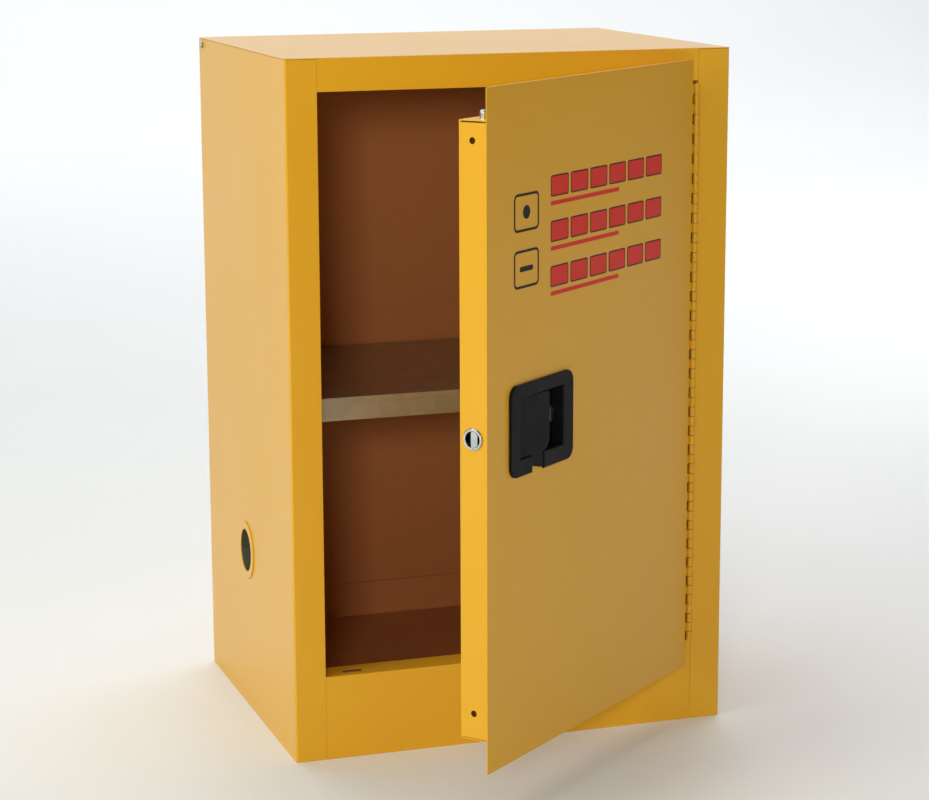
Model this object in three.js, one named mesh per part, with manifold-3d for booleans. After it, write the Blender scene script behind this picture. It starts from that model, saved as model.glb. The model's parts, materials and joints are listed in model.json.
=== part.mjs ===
// Flammable storage cabinet: a double-walled sheet steel safety cabinet with one door on a
// continuous hinge, a three-point latch, a loose shelf, a spill sump and two vents.
// Millimetres, +Z up. The origin is the centre of the carcass's underside and the front faces -Y.
// Inside the groups, y is counted from the front plane of the carcass, and the door's pieces are
// placed as on the closed door: the door's group then swings them all to the open rest angle.

import * as THREE from 'three';
import { mergeVertices } from 'three/addons/utils/BufferGeometryUtils.js';
import Module from 'manifold-3d';

// ---- Driving dimensions ----
const WIDTH = 584.2;
const DEPTH = 457.2;
const HEIGHT = 889;
const WALL_SPACE = 38.1; // air space between the two walls
const SHEET = 1.2;
const GAP = 0.3; // between neighbouring pieces
const PAST = 5; // how far a cut runs past the stock that it goes through
const BEND = 2.4; // outer radius of a folded edge
const STILE_LEFT = 40.1;
const STILE_RIGHT = 42.1;
const RAIL_TOP = 41; // height of the frame above the opening
const RAIL_BOTTOM = 109.5; // height of the sill above the floor
const SUMP_FLOOR = 59.5;

const DOOR_OPEN = 39.4; // degrees at rest
const SKIN_WIDTH = 500;
const SKIN_BOTTOM = 78;
const SKIN_TOP = 875.5;
const PAN_INSET = 15; // skin's overhang past the pan at the free edge
const PAN_DEPTH = 45.5; // from the door's face to the back of the pan
const PAN_BOTTOM = 112;
const PAN_TOP = 837;

const PIN_X = 246;
const PIN_Y = -3.5;
const BARREL_R = 3.5;
const PIN_R = 1.2;
const HINGE_BOTTOM = 110;
const HINGE_TOP = 844;
const KNUCKLES = 58;

const ROD_R = 4.5;
const BOLT_R = 9.5;
const BOLT_FLAT = 7.2; // half the nose's width between its flats
const CAM_ARM = 24; // cam pivot to each of its pins
const CAM_PIN_R = 2.5;

const SHELF_TOP = 458;
const SHELF_FRONT = 57;
const SHELF_LIP = 30;

const VENT_R = 28.5;
const VENT_Y = 244;
const VENT_LEFT_Z = 219;
const VENT_RIGHT_Z = 690;

// ---- Places worked out from them ----
const LEFT = -WIDTH / 2;
const RIGHT = WIDTH / 2;
const OPEN_LEFT = LEFT + STILE_LEFT;
const OPEN_RIGHT = RIGHT - STILE_RIGHT;
const OPEN_TOP = HEIGHT - RAIL_TOP;
const OPEN_BOTTOM = RAIL_BOTTOM;
const INNER_BACK = DEPTH - WALL_SPACE;
const UNDER_TOP = HEIGHT - SHEET - GAP;
const TRAY_TOP = OPEN_BOTTOM - SHEET - GAP;

const SKIN_BACK = -SHEET - GAP;
const SKIN_FACE = SKIN_BACK - SHEET;
const SKIN_RIGHT = PIN_X - 9;
const FREE_EDGE = SKIN_RIGHT - SKIN_WIDTH;
const PAN_LEFT = FREE_EDGE + PAN_INSET;
const PAN_RIGHT = PIN_X - 14;
const PAN_BACK = SKIN_FACE + PAN_DEPTH;
const PAN_FLOOR = PAN_BACK - SHEET; // hollow side of the pan's back

const TOP_ROD_Y = 27;
const BOTTOM_ROD_Y = 18.8;
const TOP_ROD_X = FREE_EDGE + 42;
const BOTTOM_ROD_X = FREE_EDGE + 51;
const BOLT_Y = SKIN_FACE + 28;
const BOLT_Z = 472.5;
const CAM_X = TOP_ROD_X + CAM_ARM;
const CAM_Z = BOLT_Z + CAM_ARM;

// ---- Colours and finishes ----
const YELLOW = finish(0xe8b01c, 0.38, 0);
const LINER = finish(0xdca41c, 0.42, 0);
const GALVANISED = finish(0xa8a69e, 0.42, 0.9);
const ZINC = finish(0xb9bcc0, 0.3, 0.95);
const CHROME = finish(0xd5d8dc, 0.15, 1);
const BLACK_PLASTIC = finish(0x17181a, 0.45, 0);
const SPRING_STEEL = finish(0x54575a, 0.35, 0.9);
const ARRESTER_MESH = finish(0x2a2a28, 0.5, 0.8);

function finish(color, roughness, metalness) {
  return new THREE.MeshStandardMaterial({ color, roughness, metalness });
}

// ---- Shape helpers ----
const wasm = await Module();
wasm.setup();

function toSolid(geometry) {
  const bare = geometry.clone();
  bare.deleteAttribute('normal');
  bare.deleteAttribute('uv');
  const merged = mergeVertices(bare, 1e-4);
  const vertProperties = Float32Array.from(merged.attributes.position.array);
  const triVerts = Uint32Array.from(merged.index.array);
  return new wasm.Manifold(new wasm.Mesh({ numProp: 3, vertProperties, triVerts }));
}

function fromSolid(solid) {
  const cut = solid.getMesh();
  const geometry = new THREE.BufferGeometry();
  geometry.setAttribute('position', new THREE.Float32BufferAttribute(cut.vertProperties, 3));
  geometry.setIndex(new THREE.Uint32BufferAttribute(cut.triVerts, 1));
  geometry.computeVertexNormals();
  return geometry;
}

// One piece of stock with others joined to it and the cuts taken out.
function build(added, cuts = []) {
  let solid = toSolid(added[0]);
  for (const more of added.slice(1)) solid = solid.add(toSolid(more));
  for (const cut of cuts) solid = solid.subtract(toSolid(cut));
  return fromSolid(solid);
}

const ordered = (a, b) => [Math.min(a, b), Math.max(a, b)];
const grow = ([low, high], by) => [low - by, high + by];

function slab([x0, x1], [y0, y1], [z0, z1]) {
  const geometry = new THREE.BoxGeometry(x1 - x0, y1 - y0, z1 - z0);
  return geometry.translate((x0 + x1) / 2, (y0 + y1) / 2, (z0 + z1) / 2);
}

// A bar of round section along one axis; the other two coordinates are its centre.
function roundX(radius, [x0, x1], y, z, sides = 24) {
  const geometry = new THREE.CylinderGeometry(radius, radius, x1 - x0, sides);
  return geometry.rotateZ(Math.PI / 2).translate((x0 + x1) / 2, y, z);
}

function roundY(radius, x, [y0, y1], z, sides = 24) {
  const geometry = new THREE.CylinderGeometry(radius, radius, y1 - y0, sides);
  return geometry.translate(x, (y0 + y1) / 2, z);
}

function roundZ(radius, x, y, [z0, z1], sides = 16) {
  const geometry = new THREE.CylinderGeometry(radius, radius, z1 - z0, sides);
  return geometry.rotateX(Math.PI / 2).translate(x, y, (z0 + z1) / 2);
}

function outline(points) {
  return new THREE.Shape(points.map(([u, v]) => new THREE.Vector2(u, v)));
}

// A rectangle in the plane of the door, x across and z up, with rounded corners.
function roundedOutline([x0, x1], [z0, z1], radius) {
  const shape = new THREE.Shape();
  shape.absarc(x1 - radius, z0 + radius, radius, -Math.PI / 2, 0);
  shape.absarc(x1 - radius, z1 - radius, radius, 0, Math.PI / 2);
  shape.absarc(x0 + radius, z1 - radius, radius, Math.PI / 2, Math.PI);
  shape.absarc(x0 + radius, z0 + radius, radius, Math.PI, Math.PI * 1.5);
  return shape;
}

function extrudeZ(shape, [z0, z1], curveSegments = 4) {
  const options = { depth: z1 - z0, bevelEnabled: false, curveSegments };
  return new THREE.ExtrudeGeometry(shape, options).translate(0, 0, z0);
}

// The outline holds x and z, and the stock runs along y.
function extrudeY(shape, [y0, y1], curveSegments = 5) {
  const options = { depth: y1 - y0, bevelEnabled: false, curveSegments };
  return new THREE.ExtrudeGeometry(shape, options).rotateX(Math.PI / 2).translate(0, y1, 0);
}

// A ring about the X axis at y, z, whose half-section is a list of [x, radius] in either order.
function ringX(section, y, z, sides = 32) {
  const points = [...section, section[0]].map(([x, radius]) => new THREE.Vector2(radius, x));
  if (THREE.ShapeUtils.area(points) < 0) points.reverse();
  return new THREE.LatheGeometry(points, sides).rotateZ(-Math.PI / 2).translate(0, y, z);
}

// ---- The scene graph ----
const cabinet = new THREE.Group();
const carcass = new THREE.Group();
carcass.position.y = -DEPTH / 2;
const doorSwing = new THREE.Group();
doorSwing.position.set(PIN_X, PIN_Y, 0);
doorSwing.rotation.z = THREE.MathUtils.degToRad(DOOR_OPEN);
const door = new THREE.Group();
door.position.set(-PIN_X, -PIN_Y, 0);
cabinet.add(carcass);
carcass.add(doorSwing);
doorSwing.add(door);

function piece(parent, name, geometry, material) {
  const mesh = new THREE.Mesh(geometry, material.clone());
  mesh.name = name;
  parent.add(mesh);
  return mesh;
}

// ---- Outer shell ----
function arc(cx, cy, radius, from, to, steps = 4) {
  const points = [];
  for (let step = 0; step <= steps; step += 1) {
    const angle = from + ((to - from) * step) / steps;
    points.push([cx + radius * Math.cos(angle), cy + radius * Math.sin(angle)]);
  }
  return points;
}

// Each side sheet is folded round the front corner into the stile, and again into the jamb.
// Distances are counted inwards from the outer face, and flip makes the right-hand one.
function sideSheet(stile, flip) {
  const points = [
    [0, DEPTH],
    ...arc(BEND, BEND, BEND, Math.PI, Math.PI * 1.5),
    [stile, 0],
    [stile, WALL_SPACE],
    [stile - SHEET, WALL_SPACE],
    [stile - SHEET, SHEET],
    ...arc(BEND, BEND, BEND - SHEET, Math.PI * 1.5, Math.PI),
    [SHEET, DEPTH],
  ];
  return extrudeZ(outline(points.map(([u, y]) => [flip * (u + LEFT), y])), [0, UNDER_TOP]);
}

const VENT_HOLE_R = VENT_R + 3.3;
const VENT_TUBE_R = VENT_R + 2.8;
const SCREW_Y = 438;
const SCREW_Z = 880;
const SCREW_HOLE_R = 3.3;
const SMALL_SIDES = 12;
const VENT_SIDES = 32;
const STRIKE_HOLE_Y = 9; // half the strike hole in the jamb
const STRIKE_HOLE_Z = 11;
const throughLeft = [LEFT - PAST, LEFT + PAST];
const throughRight = [RIGHT - PAST, RIGHT + PAST];
const throughJamb = [OPEN_LEFT - PAST, OPEN_LEFT + PAST];
const throughRightLiner = [OPEN_RIGHT - PAST, OPEN_RIGHT + PAST];

piece(carcass, 'left_side_panel', build(
  [sideSheet(STILE_LEFT, 1)],
  [
    roundX(VENT_HOLE_R, throughLeft, VENT_Y, VENT_LEFT_Z, VENT_SIDES),
    roundX(SCREW_HOLE_R, throughLeft, SCREW_Y, SCREW_Z, SMALL_SIDES),
    slab(throughJamb, grow([BOLT_Y, BOLT_Y], STRIKE_HOLE_Y), grow([BOLT_Z, BOLT_Z], STRIKE_HOLE_Z)),
  ],
), YELLOW);
piece(carcass, 'right_side_panel', build(
  [sideSheet(STILE_RIGHT, -1)],
  [roundX(VENT_HOLE_R, throughRight, VENT_Y, VENT_RIGHT_Z, VENT_SIDES)],
), YELLOW);

// Strike openings that the two rods drop into.
const railX = [OPEN_LEFT + GAP, OPEN_RIGHT - GAP];
const LEDGE = WALL_SPACE + SHEET + GAP;
const STRIKE_HALF_X = 12.5;
const STRIKE_HALF_Y = 6.5;

function strikeSlot(rodX, rodY, z) {
  return slab([rodX - STRIKE_HALF_X, rodX + STRIKE_HALF_X],
    [rodY - STRIKE_HALF_Y, rodY + STRIKE_HALF_Y], [z - PAST, z + PAST]);
}

piece(carcass, 'top_panel', build(
  [
    slab([LEFT, RIGHT], [0, DEPTH], [HEIGHT - SHEET, HEIGHT]),
    slab(railX, [0, SHEET], [OPEN_TOP, HEIGHT]),
    slab(railX, [0, WALL_SPACE], [OPEN_TOP, OPEN_TOP + SHEET]),
  ],
  [strikeSlot(TOP_ROD_X, TOP_ROD_Y, OPEN_TOP)],
), YELLOW);
piece(carcass, 'front_sill', build(
  [
    slab(railX, [0, SHEET], [0, OPEN_BOTTOM]),
    slab(railX, [0, LEDGE], [OPEN_BOTTOM - SHEET, OPEN_BOTTOM]),
    slab(railX, [0, WALL_SPACE], [0, SHEET]),
  ],
  [strikeSlot(BOTTOM_ROD_X, BOTTOM_ROD_Y, OPEN_BOTTOM)],
), YELLOW);

const betweenSides = [LEFT + SHEET + GAP, RIGHT - SHEET - GAP];
piece(carcass, 'outer_back_panel',
  slab(betweenSides, [DEPTH - SHEET, DEPTH], [0, UNDER_TOP]), YELLOW);
piece(carcass, 'outer_bottom_panel',
  slab(betweenSides, [WALL_SPACE + GAP, DEPTH - SHEET - GAP], [0, SHEET]), YELLOW);

// ---- Inner liner and spill sump ----
const LINER_LEFT = [OPEN_LEFT - SHEET, OPEN_LEFT];
const LINER_RIGHT = [OPEN_RIGHT, OPEN_RIGHT + SHEET];
const LINER_Y = [WALL_SPACE + GAP, INNER_BACK + SHEET];
const LINER_Z = [TRAY_TOP + GAP, OPEN_TOP + SHEET];

piece(carcass, 'inner_left_wall', build(
  [slab(LINER_LEFT, LINER_Y, LINER_Z)],
  [roundX(VENT_HOLE_R, throughJamb, VENT_Y, VENT_LEFT_Z, VENT_SIDES)],
), LINER);
piece(carcass, 'inner_right_wall', build(
  [slab(LINER_RIGHT, LINER_Y, LINER_Z)],
  [roundX(VENT_HOLE_R, throughRightLiner, VENT_Y, VENT_RIGHT_Z, VENT_SIDES)],
), LINER);
piece(carcass, 'inner_back_wall',
  slab(railX, [INNER_BACK, INNER_BACK + SHEET], [LINER_Z[0], OPEN_TOP - GAP]), LINER);
piece(carcass, 'inner_top_panel',
  slab(railX, [LINER_Y[0], INNER_BACK + SHEET], [OPEN_TOP, OPEN_TOP + SHEET]), LINER);
piece(carcass, 'sump_tray', build(
  [slab([OPEN_LEFT - SHEET, OPEN_RIGHT + SHEET], LINER_Y, [SUMP_FLOOR - SHEET, TRAY_TOP])],
  [slab([OPEN_LEFT, OPEN_RIGHT], [LEDGE, INNER_BACK], [SUMP_FLOOR, TRAY_TOP + PAST])],
), LINER);

// Channels that hold the two walls apart, open towards one of them.
const SPACER_WIDTH = 40;
const SPACER_END = 70; // from the front and from the back of the carcass
const SPACER_LEFT_Z = 520;
const SPACER_RIGHT_Z = 330;
const SPACER_BACK_Z = 430;
const SPACER_BACK_HALF = 200;
const spacerY = [SPACER_END, DEPTH - SPACER_END];

function sideSpacer([x0, x1], z) {
  return build(
    [slab([x0, x1], spacerY, [z, z + SPACER_WIDTH])],
    [slab([x0 + SHEET, x1 + PAST], [spacerY[0] - PAST, spacerY[1] + PAST],
      [z + SHEET, z + SPACER_WIDTH - SHEET])],
  );
}

function backSpacer([y0, y1], z) {
  return build(
    [slab([-SPACER_BACK_HALF, SPACER_BACK_HALF], [y0, y1], [z, z + SPACER_WIDTH])],
    [slab([-SPACER_BACK_HALF - PAST, SPACER_BACK_HALF + PAST], [y0 + SHEET, y1 + PAST],
      [z + SHEET, z + SPACER_WIDTH - SHEET])],
  );
}

piece(carcass, 'left_wall_spacer',
  sideSpacer([LEFT + SHEET + GAP, OPEN_LEFT - SHEET - GAP], SPACER_LEFT_Z), ZINC);
piece(carcass, 'right_wall_spacer',
  sideSpacer([OPEN_RIGHT + SHEET + GAP, RIGHT - SHEET - GAP], SPACER_RIGHT_Z), ZINC);
piece(carcass, 'back_wall_spacer',
  backSpacer([INNER_BACK + SHEET + GAP, DEPTH - SHEET - GAP], SPACER_BACK_Z), ZINC);

// ---- Vents ----
const VENT_FLANGE_R = 39;
const VENT_FLANGE = 1.5;
const RING_NUT_R = 40;
const RING_NUT = 3;
const VENT_LIP = 0.7; // chamfer round the flange
const ARRESTER_DEPTH = 1; // inside the outer sheet's face
const ARRESTER = 2;

// side is -1 on the left and +1 on the right, and inner is the liner's inner face.
function addVent(side, outer, inner, z, label) {
  const flangeBack = outer + side * GAP;
  const flangeFace = flangeBack + side * VENT_FLANGE;
  const tubeEnd = inner - side * (RING_NUT + 2 * GAP);
  piece(carcass, `vent_fitting_${label}`, ringX([
    [flangeFace, VENT_R],
    [flangeFace, VENT_FLANGE_R - VENT_LIP],
    [flangeFace - side * VENT_LIP, VENT_FLANGE_R],
    [flangeBack, VENT_FLANGE_R],
    [flangeBack, VENT_TUBE_R],
    [tubeEnd, VENT_TUBE_R],
    [tubeEnd, VENT_R],
  ], VENT_Y, z, VENT_SIDES), YELLOW);
  const meshFace = outer - side * ARRESTER_DEPTH;
  piece(carcass, `flame_arrester_${label}`,
    roundX(VENT_R - GAP, ordered(meshFace, meshFace - side * ARRESTER), VENT_Y, z, VENT_SIDES),
    ARRESTER_MESH);
  const nutBack = inner - side * GAP;
  const nutFace = nutBack - side * RING_NUT;
  piece(carcass, `vent_ring_nut_${label}`, ringX([
    [nutBack, VENT_TUBE_R + GAP],
    [nutBack, RING_NUT_R],
    [nutFace, RING_NUT_R],
    [nutFace, VENT_TUBE_R + GAP],
  ], VENT_Y, z, VENT_SIDES), ZINC);
}

addVent(-1, LEFT, OPEN_LEFT, VENT_LEFT_Z, 'left');
addVent(1, RIGHT, OPEN_RIGHT, VENT_RIGHT_Z, 'right');

// ---- Earthing screw, high at the back of the left side ----
const SCREW_HEAD_R = 5;
const SCREW_HEAD = 3.3;
const SCREW_SHANK_R = 3;
const SCREW_LENGTH = 12;
const SCREW_NUT_R = 5.8;
const SCREW_NUT = 3.5;
const screwNutFace = LEFT + SHEET + GAP;
piece(carcass, 'ground_screw', build([
  roundX(SCREW_HEAD_R, [LEFT - GAP - SCREW_HEAD, LEFT - GAP], SCREW_Y, SCREW_Z, 16),
  roundX(SCREW_SHANK_R, [LEFT - 1, LEFT + SCREW_LENGTH], SCREW_Y, SCREW_Z, SMALL_SIDES),
]), ZINC);
piece(carcass, 'ground_screw_nut', build(
  [roundX(SCREW_NUT_R, [screwNutFace, screwNutFace + SCREW_NUT], SCREW_Y, SCREW_Z, 6)],
  [roundX(SCREW_HOLE_R, [LEFT - PAST, LEFT + SCREW_LENGTH + PAST], SCREW_Y, SCREW_Z, SMALL_SIDES)],
), ZINC);

// ---- Shelf, its four standards and four clips ----
const STANDARD_DEPTH = 2.5;
const STANDARD_WIDTH = 16;
const STANDARD_Z = [130, 820];
const SLOT_PITCH = 50.8;
const SLOT = { y: 6, z: 10 };
const SLOT_TOTAL = 13;
const SLOT_FIRST = 160;
const slotZ = (index) => SLOT_FIRST + index * SLOT_PITCH;
const CLIP_SLOT = 5;
const CLIP_TOP = SHELF_TOP - SHELF_LIP - GAP;
const SHELF_BACK = INNER_BACK - 6;
const STANDARD_INSET = 40; // from the shelf's front and back edges
const CLIP = 1.5;
const CLIP_HALF = 7;
const CLIP_REACH = 20;
const CLIP_LEG = 8; // below the slot that holds the clip
const TONGUE_HALF = 2.4;
const standardPlaces = { front: SHELF_FRONT + STANDARD_INSET, rear: SHELF_BACK - STANDARD_INSET };

function addStandard(side, wall, end, y) {
  const label = `${side < 0 ? 'left' : 'right'}_${end}`;
  const span = (from, to) => ordered(wall - side * from, wall - side * to);
  const slots = [];
  for (let index = 0; index < SLOT_TOTAL; index += 1) {
    const z = slotZ(index);
    slots.push(slab(span(-PAST, PAST), [y - SLOT.y / 2, y + SLOT.y / 2], [z, z + SLOT.z]));
  }
  piece(carcass, `shelf_standard_${label}`, build(
    [slab(span(GAP, STANDARD_DEPTH), [y - STANDARD_WIDTH / 2, y + STANDARD_WIDTH / 2], STANDARD_Z)],
    slots,
  ), ZINC);
  const legBottom = slotZ(CLIP_SLOT) - CLIP_LEG;
  const tongue = [slotZ(CLIP_SLOT) + 1, slotZ(CLIP_SLOT) + SLOT.z - 1];
  const clipBack = STANDARD_DEPTH + GAP;
  const clipY = [y - CLIP_HALF, y + CLIP_HALF];
  piece(carcass, `shelf_clip_${label}`, build([
    slab(span(clipBack, clipBack + CLIP), clipY, [legBottom, CLIP_TOP]),
    slab(span(clipBack, CLIP_REACH), clipY, [CLIP_TOP - CLIP, CLIP_TOP]),
    slab(span(1, STANDARD_DEPTH + 1), [y - TONGUE_HALF, y + TONGUE_HALF], tongue),
  ]), ZINC);
}

for (const [end, y] of Object.entries(standardPlaces)) {
  addStandard(-1, OPEN_LEFT, end, y);
  addStandard(1, OPEN_RIGHT, end, y);
}

const SHELF_SIDE_ROOM = STANDARD_DEPTH + 2.4;
const shelfX = [OPEN_LEFT + SHELF_SIDE_ROOM, OPEN_RIGHT - SHELF_SIDE_ROOM];
const shelfZ = [SHELF_TOP - SHELF_LIP, SHELF_TOP];
piece(carcass, 'shelf', build(
  [slab(shelfX, [SHELF_FRONT, SHELF_BACK], shelfZ)],
  [slab([shelfX[0] + SHEET, shelfX[1] - SHEET], [SHELF_FRONT + SHEET, SHELF_BACK - SHEET],
    [shelfZ[0] - PAST, SHELF_TOP - SHEET])],
), GALVANISED);

// ---- Continuous hinge ----
const PITCH = (HINGE_TOP - HINGE_BOTTOM) / KNUCKLES;
const KNUCKLE_GAP = 0.4;
const LEAF = 1.2;
const BORE_R = PIN_R + GAP;
const KNUCKLE_SIDES = 8;
const FRAME_LEAF_DEPTH = 26;
const DOOR_LEAF_WIDTH = 14; // its lap on the pan

const hingeZ = [HINGE_BOTTOM, HINGE_TOP];

// Every second knuckle from the first one, and the web that joins each to its leaf.
function knuckleStack(first, webX, webY, leaf) {
  const added = [leaf];
  for (let index = first; index < KNUCKLES; index += 2) {
    const z = [HINGE_BOTTOM + index * PITCH + KNUCKLE_GAP / 2,
      HINGE_BOTTOM + (index + 1) * PITCH - KNUCKLE_GAP / 2];
    added.push(roundZ(BARREL_R, PIN_X, PIN_Y, z, KNUCKLE_SIDES));
    added.push(slab(webX, webY, z));
  }
  return build(added, [roundZ(BORE_R, PIN_X, PIN_Y, grow(hingeZ, PAST), KNUCKLE_SIDES)]);
}

const frameLeafX = [OPEN_RIGHT - GAP - LEAF, OPEN_RIGHT - GAP];
piece(carcass, 'hinge_frame_leaf', knuckleStack(
  0, frameLeafX, [PIN_Y, 1], slab(frameLeafX, [GAP, FRAME_LEAF_DEPTH], hingeZ),
), YELLOW);
piece(carcass, 'hinge_pin',
  roundZ(PIN_R, PIN_X, PIN_Y, grow(hingeZ, 1), KNUCKLE_SIDES), ZINC);
const leafEdge = PIN_X - BARREL_R - 1;
const DOOR_LEAF_LEFT = PAN_RIGHT - DOOR_LEAF_WIDTH;
piece(door, 'hinge_door_leaf', knuckleStack(
  1, [leafEdge - 1, PIN_X - PIN_R - 1], [-LEAF, 0], slab([DOOR_LEAF_LEFT, leafEdge], [-LEAF, 0], hingeZ),
), YELLOW);

// ---- Door skin and pan ----
const BEZEL_X = [FREE_EDGE + 47.5, FREE_EDGE + 191.5];
const BEZEL_Z = [421.5, 530];
const RECESS_X = [FREE_EDGE + 68.5, FREE_EDGE + 167.5];
const RECESS_Z = [441.5, 514];
const DISH_WALL = 2.5;
const CUTOUT_ROOM = DISH_WALL + 0.6;
const TAB_X = [FREE_EDGE + 97, FREE_EDGE + 121]; // the paddle's finger tab
const TAB_TIP = [430.5, 424]; // its sloping lower edge, left and right
const TAB_ROOM = 1.2;
const STUD_LEFT_X = BEZEL_X[0] + 9;
const STUD_RIGHT_X = BEZEL_X[1] - 11;
const STUD_LOW_Z = BEZEL_Z[0] + 30;
const STUD_HIGH_Z = BEZEL_Z[1] - 26;
const STUD_PLACES = [STUD_LEFT_X, STUD_RIGHT_X].flatMap((x) => [[x, STUD_LOW_Z], [x, STUD_HIGH_Z]]);
const STUD_R = 2.2;
const STUD_SIDES = 10;
const BEZEL_CORNER = 14;
const SKIN_CORNER = 2;

// The notch that the finger tab sinks through, cut in the skin and in the bezel.
function tabNotch(y) {
  const [x0, x1] = [TAB_X[0] - TAB_ROOM, TAB_X[1] + TAB_ROOM];
  const shape = outline([
    [x0, TAB_TIP[0] - TAB_ROOM],
    [x1, TAB_TIP[1] - TAB_ROOM],
    [x1, RECESS_Z[0] + 1],
    [x0, RECESS_Z[0] + 1],
  ]);
  return extrudeY(shape, y);
}

const skinY = [SKIN_FACE, SKIN_BACK];
const throughSkin = grow(skinY, PAST);
piece(door, 'door_skin', build(
  [extrudeY(roundedOutline([FREE_EDGE, SKIN_RIGHT], [SKIN_BOTTOM, SKIN_TOP], SKIN_CORNER), skinY)],
  [
    slab(grow(RECESS_X, CUTOUT_ROOM), throughSkin, grow(RECESS_Z, CUTOUT_ROOM)),
    tabNotch(throughSkin),
    ...STUD_PLACES.map(([x, z]) => roundY(STUD_R + GAP, x, throughSkin, z, STUD_SIDES)),
  ],
), YELLOW);

// A folded tray, open towards the skin. Its corner seams stay open, and the top one gapes.
const PAN_FRONT = SKIN_BACK + GAP;
const HOUSING_R = 11.2;
const DRAIN_R = 4;
const DRAIN_Y = SKIN_FACE + 28;
const DRAIN_Z = [144, 814];
const DRAIN_SIDES = 14;
const HOUSING_SIDES = 24;
const ROD_ROOM = 1;
const SEAM = 0.8;
const TOP_SEAM = 1.6;
const beyondPanFront = PAN_FRONT - PAST;
const seamY = [beyondPanFront, PAN_FLOOR - 1];
const throughPanEdge = [PAN_LEFT - PAST, PAN_LEFT + PAST];
const seamX = [PAN_LEFT - 1, PAN_LEFT + SHEET + 1];
piece(door, 'door_pan', build(
  [slab([PAN_LEFT, PAN_RIGHT], [PAN_FRONT, PAN_BACK], [PAN_BOTTOM, PAN_TOP])],
  [
    slab([PAN_LEFT + SHEET, PAN_RIGHT - SHEET], [beyondPanFront, PAN_FLOOR],
      [PAN_BOTTOM + SHEET, PAN_TOP - SHEET]),
    slab([DOOR_LEAF_LEFT - 1, PAN_RIGHT + PAST], [beyondPanFront, GAP],
      [PAN_BOTTOM - PAST, PAN_TOP + PAST]),
    slab(seamX, seamY, [PAN_TOP - SHEET - TOP_SEAM, PAN_TOP - SHEET]),
    slab(seamX, seamY, [PAN_BOTTOM + SHEET, PAN_BOTTOM + SHEET + SEAM]),
    roundZ(ROD_R + ROD_ROOM, TOP_ROD_X, TOP_ROD_Y, [PAN_TOP - PAST, PAN_TOP + PAST]),
    roundZ(ROD_R + ROD_ROOM, BOTTOM_ROD_X, BOTTOM_ROD_Y, [PAN_BOTTOM - PAST, PAN_BOTTOM + PAST]),
    roundX(HOUSING_R + GAP, throughPanEdge, BOLT_Y, BOLT_Z, HOUSING_SIDES),
    ...DRAIN_Z.map((z) => roundX(DRAIN_R, throughPanEdge, DRAIN_Y, z, DRAIN_SIDES)),
  ],
), YELLOW);

// ---- Handle dish, its screws and the paddle ----
const BEZEL_FACE = SKIN_FACE - 3.8;
const bezelY = [BEZEL_FACE, SKIN_FACE - GAP];
const studTip = BEZEL_FACE + 1.8;
const STUD_END = 8;
const STUD_NUT_R = 4.6;
const STUD_NUT = 4.6;
const STEP_Y = 5; // where the recess narrows on the lock's side
const STEP = 3;
const DISH_FLOOR = 16;
const DISH_BACK = DISH_FLOOR + 2;
const LOCK_X = FREE_EDGE + 153.4;
const LOCK_Z = 479.7;
const LOCK_R = 10;
const LOCK_THREAD_R = 8.5;
const PLUG_SIDES = 20;
const PADDLE_PIN_X = FREE_EDGE + 73.5;
const PADDLE_PIN_Y = 1;
const PADDLE_PIN_R = 2;
const PIN_SEAT = 1.3; // how deep the paddle's pin sits in the dish

piece(door, 'handle_dish', build(
  [
    extrudeY(roundedOutline(BEZEL_X, BEZEL_Z, BEZEL_CORNER), bezelY, 8),
    slab(grow(RECESS_X, DISH_WALL), [BEZEL_FACE + 1, DISH_BACK], grow(RECESS_Z, DISH_WALL)),
  ],
  [
    slab(RECESS_X, [BEZEL_FACE - PAST, STEP_Y], RECESS_Z),
    slab([RECESS_X[0], RECESS_X[1] - STEP], [0, DISH_FLOOR], RECESS_Z),
    tabNotch([BEZEL_FACE - PAST, STEP_Y + 4]),
    extrudeY(outline([
      [TAB_X[0] - TAB_ROOM, BEZEL_Z[0] - 1],
      [TAB_X[1] + TAB_ROOM, BEZEL_Z[0] - 1],
      [TAB_X[1] + TAB_ROOM, TAB_TIP[1]],
      [TAB_X[0] - TAB_ROOM, TAB_TIP[0]],
    ]), [BEZEL_FACE - PAST, SKIN_FACE + 1]),
    roundY(LOCK_THREAD_R + GAP, LOCK_X, [DISH_FLOOR - PAST, DISH_BACK + PAST], LOCK_Z, PLUG_SIDES),
    roundZ(PADDLE_PIN_R + GAP, PADDLE_PIN_X, PADDLE_PIN_Y, grow(RECESS_Z, PIN_SEAT + GAP), STUD_SIDES),
    ...STUD_PLACES.map(([x, z]) => roundY(STUD_R + GAP, x, [studTip - GAP, STUD_END], z, STUD_SIDES)),
  ],
), BLACK_PLASTIC);
STUD_PLACES.forEach(([x, z], index) => {
  piece(door, `handle_stud_${index + 1}`, build([
    roundY(STUD_R, x, [studTip, STUD_END], z, STUD_SIDES),
    roundY(STUD_NUT_R, x, [SKIN_BACK + GAP, SKIN_BACK + GAP + STUD_NUT], z, 6),
  ]), ZINC);
});
piece(door, 'paddle_pin',
  roundZ(PADDLE_PIN_R, PADDLE_PIN_X, PADDLE_PIN_Y, grow(RECESS_Z, PIN_SEAT), STUD_SIDES), ZINC);

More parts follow.
